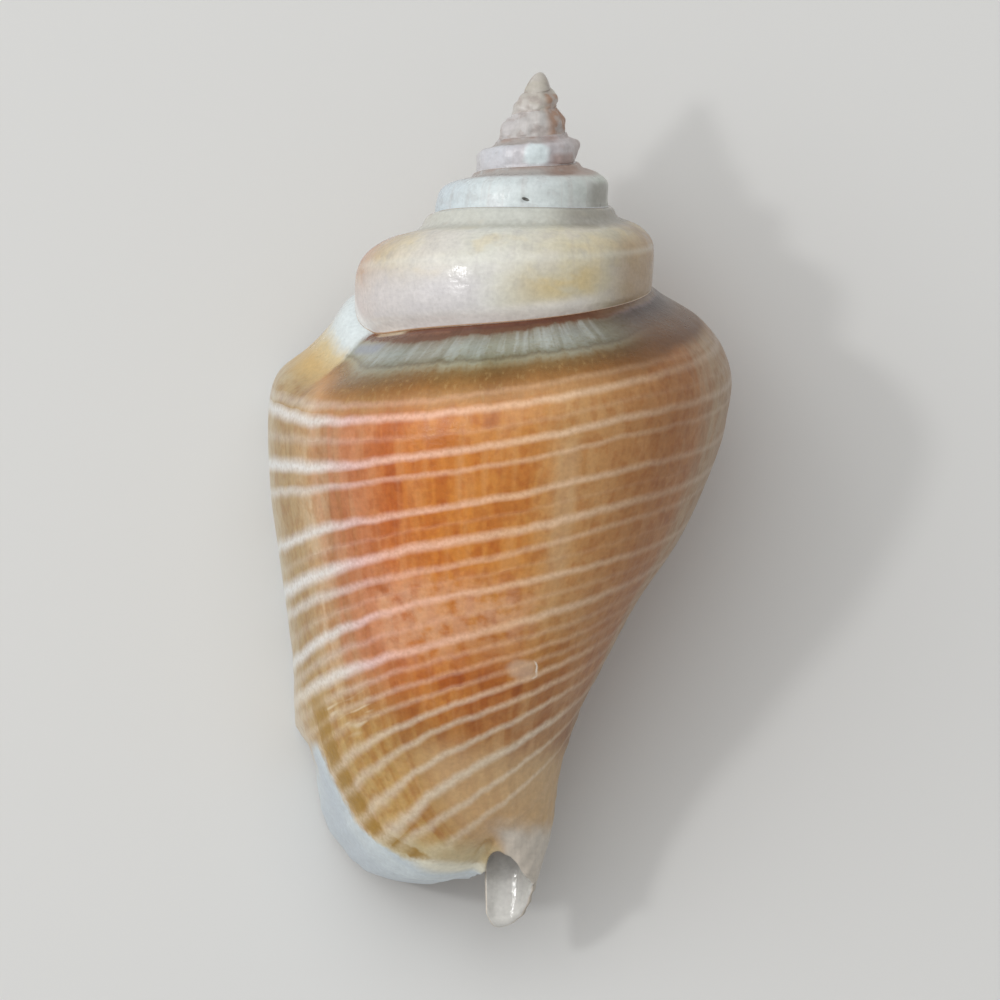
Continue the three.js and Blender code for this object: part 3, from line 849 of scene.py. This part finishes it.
# The body whorl's ground colour, round the whorl and towards the front.
aged = add(turn, swing(streak, rise(turn, 60, 42), 30.0))
body = p.ramp(aged, bodyTurns, [
    (-143, (196, 150, 105)), (-60, (186, 132, 84)), (0, (160, 132, 106)), (23, (164, 140, 112)),
    (36, (162, 114, 72)), (48, (164, 112, 64)), (62, (186, 136, 84)), (79, (206, 156, 98)),
    (86, (208, 142, 70)), (102, (212, 134, 52)), (114, (212, 130, 48)), (126, (204, 117, 50)),
    (136, (200, 132, 88)), (146, (186, 138, 98)), (155, (208, 178, 140)), (163, (182, 152, 106)),
    (172, (176, 146, 96)), (182, (192, 174, 138)), (217, (214, 208, 196)),
])
golden = p.ramp(turn, bodyTurns, [
    (-143, (196, 156, 110)), (0, (150, 118, 88)), (40, (156, 120, 84)), (80, (180, 136, 92)),
    (98, (186, 136, 80)), (112, (190, 132, 66)), (130, (186, 140, 76)), (146, (196, 158, 94)),
    (160, (196, 160, 98)), (175, (196, 164, 106)), (217, (222, 214, 198)),
])
towardsLip = times(rise(turn, 60, 96, 0.35, 1.0), rise(turn, 175, 140, 0.35, 1.0))
swirl = p.noise(turn, 0.035, space, 5.3, seed=40, detail=3)
swirl = times(rise(swirl, 0.44, 0.6), band(height, 31, 36.5, 1.0), rise(turn, 140, 120), 0.5)
peach = times(band(height, 27, 31, 1.2), band(turn, 84, 134, 8), rise(mottle, 0.25, 0.6), 0.45)
khaki = times(rise(height, 34.5, 36.5), rise(turn, 140, 118), 0.55)
amber = times(band(height, 29.6, 32.8, 0.8), band(turn, 62, 108, 8), 0.7)
growthLine = times(band(turn, 74, 80, 2.0), rise(height, 18.5, 20), rise(height, 29, 25), 0.4)
leftWarm = times(band(turn, 131, 152, 6), rise(streak, 0.42, 0.62), rise(height, 16, 18))
leftWarm = times(leftWarm, rise(height, 34, 31), 0.35)
body = p.coats(
    body,
    (rise(add(height, times(cloud, 2.0)), 31.5, 36.5), golden),
    (times(rise(blotch, 0.46, 0.6), towardsLip, look["blotchShare"]), (226, 190, 120), darken),
    (times(rise(blotch, 0.47, 0.34), towardsLip, 0.14), (226, 178, 130)),
    (times(rise(small, 0.42, 0.7), 0.5), (222, 186, 136), darken),
    (times(rise(streak, 0.5, 0.32), towardsLip, 0.12), (230, 186, 140)),
    (swirl, (216, 168, 100), darken),
    (peach, (234, 190, 156)),
    (khaki, (214, 186, 142)),
    (amber, (230, 206, 146), darken),
    (growthLine, (214, 182, 140)),
    (leftWarm, (206, 128, 86)),
)

# The shoulder: a brown strip at the seam, a grey band, a thin dark line, then brown that turns to gold.
nearer = add(rise(turn, 143, 165, 1.0, 1.5), rise(turn, 62, 36, 0.0, 0.35))
later = times(band(turn, 118, 142, 6), rise(shoulder, 0.4, 0.1), -0.04)
sooner = times(band(turn, 60, 84, 5), rise(shoulder, 0.3, 0.1), 0.035)
down = add(times(shoulder, nearer), later, sooner, swing(streak, 0.1), swing(fine, 0.06))
bands = p.ramp(down, (0, 1), [
    (0.0, (134, 88, 62)), (0.05, (108, 68, 46)), (0.1, (116, 78, 54)), (0.135, (148, 138, 120)),
    (0.18, (162, 162, 150)), (0.26, (172, 178, 168)), (0.33, (164, 167, 154)),
    (0.38, (150, 150, 130)), (0.41, (134, 126, 102)), (0.45, (166, 160, 134)),
    (0.49, (158, 142, 108)), (0.54, (142, 112, 66)), (0.62, (146, 106, 54)),
    (0.72, (170, 120, 62)), (0.86, (200, 148, 92)),
])
tint = p.ramp(turn, bodyTurns, [
    (-143, (220, 220, 220)), (20, (150, 130, 122)), (44, (160, 142, 130)), (60, (196, 186, 176)),
    (76, (244, 244, 250)), (88, (250, 248, 248)), (97, (228, 222, 208)), (101.5, (230, 226, 212)),
    (103.5, (250, 253, 255)), (110, (252, 254, 255)), (122, (236, 228, 222)),
    (135, (230, 232, 234)), (147, (240, 240, 244)), (157, (255, 250, 240)),
    (217, (255, 255, 250)),
])
browner = p.mix(rise(down, 0.16, 0.55), (122, 106, 108), (176, 136, 84))
pickets = rise(p.noise(turn, 0.36, shoulder, 0.8, seed=3), 0.44, 0.6)
pickets = times(pickets, rise(turn, 100, 94, 0.45, 1.0), rise(turn, 58, 70))
pickets = times(pickets, band(down, 0.13, 0.36, 0.03), 0.36)
notches = rise(p.noise(turn, 0.3, shoulder, 1.6, seed=9, detail=3), 0.52, 0.62)
notches = times(notches, rise(down, 0.5, 0.36), rise(turn, 50, 70), 0.3)
lighter = times(rise(fine, 0.46, 0.3), rise(down, 0.5, 0.6), rise(turn, 50, 80), 0.2)
lipBands = p.ramp(add(shoulder, swing(fine, 0.08), swing(streak, 0.1)), (0, 1), [
    (0.0, (224, 234, 236)), (0.2, (222, 230, 230)), (0.36, (214, 194, 150)), (0.5, (206, 174, 116)),
    (0.66, (204, 172, 112)), (0.76, (208, 202, 174)), (1.0, (200, 194, 170)),
])
bands = p.coats(
    bands,
    (rise(turn, 62, 38, 0.0, 0.85), browner),
    (rise(down, 0.08, 0.17, 0.2, 1.0), tint, darken),
    (times(rise(down, 0.12, 0.05), rise(turn, 66, 50), 0.7), (134, 112, 88)),
    (pickets, (206, 214, 214)),
    (notches, (190, 178, 152), darken),
    (times(rise(streak, 0.5, 0.66), rise(down, 0.56, 0.4), 0.3), (206, 196, 170), darken),
    (times(rise(fine, 0.5, 0.68), 0.3), (214, 196, 160), darken),
    (lighter, (220, 182, 122)),
    (rise(add(turn, swing(fine, 4.0)), 165.5, 169), lipBands),
)
lilac = times(band(turn, 148, 166, 3), band(shoulder, 0.13, 0.24, 0.04), 0.75)
cream = times(band(turn, 143, 161, 2.5), rise(under, 0.42, 0.2), 0.7)
seamLine = times(band(turn, 44, 142, 6), rise(add(under, times(streak, 0.5)), 0.72, 0.56))
seamLine = times(seamLine, rise(turn, 62, 92, 0.25, 0.6))

# A chip with a painted highlight on its right edge, and short painted glints near the lip.
chipFrom = p.calc("SQRT", add(p.square(turn, 84.6, 6.6), p.square(height, 31.35, 0.58)))
chipFrom = add(chipFrom, swing(mottle, 0.8))
# Painted highlight: a bright crescent along the chip's right edge.
chipHighlight = times(band(chipFrom, 0.92, 1.04, 0.06), rise(turn, 80.6, 79.0), 0.85)
# Painted glints: short bright dashes along the spiral near the lip.
glints = rise(p.noise(turn, 0.11, line, 3.4, seed=60, detail=0), 0.56, 0.84)
glints = times(glints, band(turn, 142, 164, 3), band(height, 32.9, 35.2, 0.3), 0.6)
body = p.coats(
    body,
    (rise(down, 1.08, 0.8), bands),
    (lilac, (146, 152, 166)),
    (cream, (224, 212, 184)),
    (seamLine, (92, 46, 32)),
    (times(rise(chipFrom, 1.2, 0.5), 0.5), (226, 202, 178)),
    (chipHighlight, (250, 244, 232)),
    (glints, (240, 226, 194)),
)

# The pale spiral lines.
whole = p.calc("ROUND", at)
off = times(p.calc("ABSOLUTE", p.less(at, whole)), gap)
lineEnds = (-0.5, len(paleLines) - 0.5)
rampUnit = 4  # a ramp holds values up to one, so the widths in it are shares of this
strength, half = (
    p.ramp(whole, lineEnds, [(i - 0.5, entry[k] / scale) for i, entry in enumerate(paleLines)], "CONSTANT")
    for k, scale in ((1, 1), (2, rampUnit))
)
wider = p.ramp(turn, bodyTurns, [(-143, 0.5), (110, 0.5), (136, 0.55), (156, 0.85), (217, 0.9)])
half = times(half, wider, rise(height, 31, 34, 1.0, 0.86), look["lineWidth"] * rampUnit * pixel)
counted = times(band(whole, *lineEnds, 0.1), rise(turn, -135, -110))
shown = times(rise(off, times(half, 2.2), 0.0), counted, strength, rise(height, 31, 35, 1.0, 0.85))
bold = p.ramp(turn, bodyTurns, [(-143, 0.8), (14, 0.6), (30, 0.45), (44, 0.4), (56, 0.7), (68, 1.0)])
shown = times(shown, bold, rise(grain, 0.25, 0.65, 0.8, 1.0), rise(shoulder, 0.6, 0.78))
pale = p.ramp(turn, bodyTurns, [
    (-143, (220, 206, 190)), (0, (190, 178, 164)), (45, (196, 168, 142)), (66, (216, 182, 148)),
    (79, (236, 200, 164)), (92, (240, 194, 154)), (112, (242, 190, 160)), (126, (240, 188, 164)),
    (138, (236, 200, 194)), (150, (232, 226, 220)), (217, (236, 242, 244)),
])
pale = p.mix(rise(height, 31, 35), pale, (226, 210, 186))

# A sandy front edge. Brown blocks end the dark spaces near the lip, and the front margin is white.
sandy = times(rise(add(height, times(mottle, 1.2)), 40.6, 42.0), rise(turn, 98, 114), 0.7)
border = add(turn, times(rise(height, 39.6, 41.8), 11.0), swing(fine, 5.0))
blocks = times(band(border, 162, 171.5, 1.5), rise(height, 33.2, 34.0), p.less(1.0, shown), 0.88)
fringe = add(height, swing(streak, rise(turn, 178, 190), 2.4))
margin = times(rise(border, 172.5, 177.5), rise(fringe, 35.5, rise(turn, 178, 200, 36.3, 38.0)))
tips = times(rise(add(height, times(fine, 0.3)), 41.55, 41.95), rise(turn, 138, 156))
margin = p.most(margin, tips, rise(edge, 0.45, 0.2))
marginTone = p.mix(rise(cloud, 0.35, 0.65), (212, 221, 224), (196, 206, 214))
# At smaller growth angles the lower front margin is cream, brightened as painted light against the shade on
# its downward-facing surface.
marginTone = p.mix(rise(turn, 168, 157, 0.0, 0.85), marginTone, (238, 231, 206))
greyFront = times(rise(add(height, times(mottle, 0.8)), 39.3, 40.7), rise(turn, 118, 94), 0.8)
body = p.coats(
    body,
    (shown, pale),
    (sandy, (208, 196, 156)),
    (blocks, (164, 122, 30)),
    (margin, marginTone),
    (greyFront, (196, 192, 184)),
)

# The spire.
spire = p.ramp(turn, spireTurns, [
    (-1979, (190, 184, 172)), (-1700, (196, 190, 180)), (-1500, (190, 185, 180)),
    (-1350, (192, 188, 182)), (-1300, (196, 192, 190)), (-1060, (196, 190, 190)),
    (-1010, (198, 192, 194)), (-974, (204, 202, 206)), (-945, (208, 210, 216)),
    (-870, (202, 198, 198)), (-760, (200, 200, 190)), (-700, (190, 196, 184)),
    (-668, (200, 206, 202)), (-640, (216, 224, 224)), (-600, (218, 227, 228)),
    (-540, (202, 215, 224)), (-440, (206, 208, 208)), (-352, (168, 146, 114)),
    (-334, (172, 150, 118)), (-314, (192, 186, 164)), (-298, (214, 206, 182)),
    (-284, (222, 214, 186)), (-270, (224, 221, 206)), (-252, (225, 225, 214)),
    (-236, (226, 222, 210)), (-220, (222, 214, 196)), (-207, (204, 188, 162)),
    (-200, (204, 178, 142)), (-194, (196, 150, 100)), (-186, (190, 132, 78)),
    (-143, (198, 152, 104)),
])
facing = p.calc("COSINE", p.calc("RADIANS", turn))
patches = times(rise(patch, 0.5, 0.66), rise(turn, -420, -360), rise(place, 6.0, 4.6), 0.4)

# The last whorl of the spire: greyish pink low on its left, brown on its right, with a pale girdle.
lower = times(rise(place, 4.2, 5.6), rise(turn, -420, -400))
yellow = times(rise(patch, 0.44, 0.6), band(turn, -300, -272, 8), band(place, 4.9, 5.9, 0.4), 0.55)
rightSide = times(rise(place, 3.0, 4.2), rise(turn, -420, -400), rise(turn, -300, -322), 0.7)
paleBand = times(band(place, 4.35, 4.6, 0.2), rise(turn, -400, -340), 0.3)

# The early whorls: painted shade that browns their right side, one white knob and dark seams.
# Painted shade: brown on the side of the early whorls that faces right.
rightShade = times(rise(facing, 0.25, 0.65), rise(turn, -1030, -1160), rise(height, 1.05, 1.2))
rightShade = times(rightShade, rise(mottle, 0.3, 0.5), 0.85)
knob = add(p.square(turn, -994, 17), p.square(place, 5.1, 2.2), swing(mottle, 1.2))
brownFoot = times(band(turn, -1052, -1014, 6), rise(place, 4.8, 5.6), 0.7)

# The white whorl: a grey patch, a pinhole filled with painted shade and a dull slope above it.
greyPatch = times(band(turn, -704, -676, 6), rise(add(place, times(mottle, 1.4)), 4.5, 5.4), 0.8)
slope = times(rise(place, 3.5, 2.6), band(turn, -1010, -420, 40), rise(mottle, 0.2, 0.42), 0.9)
# Painted shade: the slope's tone turns browner and darker where the whorl faces right.
slopeTone = p.mix(rise(facing, 0.05, 0.5), (170, 162, 156), (156, 128, 114))
# Painted shade: a dark spot where the pinhole lies.
pinhole = add(p.square(add(turn, times(height, 12.0)), -545.4, 2.6), p.square(height, 6.76, 0.12))

# The grey slope above the last whorl, and what lies right at the seams.
greySlope = times(rise(place, 2.9, 2.0), rise(turn, -420, -380), rise(mottle, 0.15, 0.45), 0.9)
# Painted shade: the grey slope turns darker where it faces right.
greyTone = p.mix(rise(facing, 0.1, 0.55), (206, 208, 200), (160, 157, 148))
hollow = times(band(add(place, times(streak, 0.8)), 2.4, 2.9, 0.3), rise(turn, -420, -380), 0.6)
# Darker and browner just below the seams, in the middle of the spire.
seamDarkening = times(rise(under, 0.42, 0.1), band(turn, -1180, -420, 40), rise(mottle, 0.35, 0.6), 0.6)
# Painted light: the last spire whorl is lightened just above its lower seam, partly its pale rim and partly
# to lift the shade there.
foot = times(rise(above, 1.3, 0.6), rise(turn, -312, -290), 0.75)
spire = p.coats(
    spire,
    (patches, (226, 208, 164)),
    (times(rise(patch, 0.5, 0.36), 0.25), (216, 212, 214)),
    (times(rise(mottle, 0.46, 0.34), 0.2), (190, 186, 184)),
    (times(rise(streak, 0.52, 0.7), 0.2), (186, 176, 170)),
    (times(lower, rise(turn, -266, -244), 0.8), (220, 216, 218)),
    (times(lower, band(turn, -304, -262, 8), 0.45), (200, 188, 158)),
    (yellow, (216, 190, 128)),
    (rightSide, (176, 148, 116)),
    (paleBand, (236, 236, 226)),
    (rightShade, (160, 120, 94)),
    (times(rise(mottle, 0.5, 0.38), rise(turn, -980, -1060), 0.4), (170, 154, 146)),
    (times(rise(knob, 1.3, 0.3), 0.95), (226, 238, 240)),
    (brownFoot, (156, 130, 120)),
    (greyPatch, (160, 158, 150)),
    (slope, slopeTone),
    (times(rise(pinhole, 1.0, 0.5), 0.9), (66, 62, 54)),
    (greySlope, greyTone),
    (hollow, (222, 220, 214), darken),
    (seamDarkening, (156, 126, 112)),
    (foot, (246, 242, 238)),
)

# Inside the aperture, the thin glaze beside it, and fine variation everywhere.
deep = p.mix(rise(edge, 1.0, 9.0), (240, 236, 230), (226, 156, 112))
deep = p.mix(rise(height, 39.0, 41.5), deep, (212, 210, 204))
glaze = times(rise(turn, -92, -122), rise(turn, -160, -140), 0.85)
mixed = add(*map(times, (grain, mottle, fine, weave), look["grainParts"]))
shade = add(1.0, swing(mixed, look["grainShare"]))
colour = p.coats(
    spire,
    (rise(turn, -158, -128), body),
    (glaze, (236, 224, 206)),
    (rise(within, 0.25, 0.75), deep),
    (1.0, shade, darken),
)

satin = times(rise(turn, -150, -120), rise(down, 0.3, 1.0), look["bodyRoughness"] - look["seamRoughness"])
rough = rise(turn, -700, -300, look["spireRoughness"], look["seamRoughness"])
rough = add(rough, swing(mottle, 0.2), satin, times(within, -look["insideGloss"]))
bump = add(*map(times, (fine, weave, grain, mottle), look["bumpParts"]))
bumped = p.node("Bump", {"Height": bump, "Strength": look["growthBump"], "Distance": look["bumpHeight"]})
p.cover(mesh, {"Base Color": colour, "Roughness": rough, "Normal": bumped.outputs[0]})
print("finish made")


# Floor and light

studio = {
    "floorHalf": 2,
    "floorTone": (222, 222, 220),
    "floorRoughness": 0.9,
    "skyStrength": 0.45,
    "lampTarget": 22,  # millimetres below the apex in the picture
    "lamps": [
        # name, towards it (right, up, out of the picture), distance and width in metres, power in watts
        ("key", (-0.62, 0.14, 0.77), 0.5, 0.05, 0.35),
        ("left", (-0.8, 0.35, 0.6), 0.7, 0.7, 1.2),
        ("front", (-0.1, 0.5, 1.0), 0.9, 0.9, 2.2),
    ],
}
out = studio["floorHalf"]
floorMesh = bpy.data.meshes.new("floor")
floorMesh.from_pydata([(-out, -out, 0), (out, -out, 0), (out, out, 0), (-out, out, 0)], [], [(0, 1, 2, 3)])
floorFinish = {"Base Color": tone(*studio["floorTone"]), "Roughness": studio["floorRoughness"]}
Paint("pale_floor").cover(floorMesh, floorFinish)
stand("floor", floorMesh)

centre = (apexAt - up * studio["lampTarget"]) * mm
for name, towards, far, width, power in studio["lamps"]:
    lamp = bpy.data.lights.new(name, "AREA")
    lamp.shape = "DISK"
    lamp.size = width
    lamp.energy = power
    away = (right * towards[0] + up * towards[1] + backwards * towards[2]).normalized()
    facingIn = away.to_track_quat("Z", "Y").to_matrix().to_4x4()
    stand(name, lamp).matrix_world = Matrix.Translation(centre + away * far) @ facingIn

world = bpy.data.worlds.new("studio")
world.use_nodes = True
sky = world.node_tree.nodes["Background"]
sky.inputs["Color"].default_value = (1.0, 1.0, 1.0, 1.0)
sky.inputs["Strength"].default_value = studio["skyStrength"]
bpy.context.scene.world = world
bpy.context.scene.view_settings.view_transform = "Standard"
print("lit")
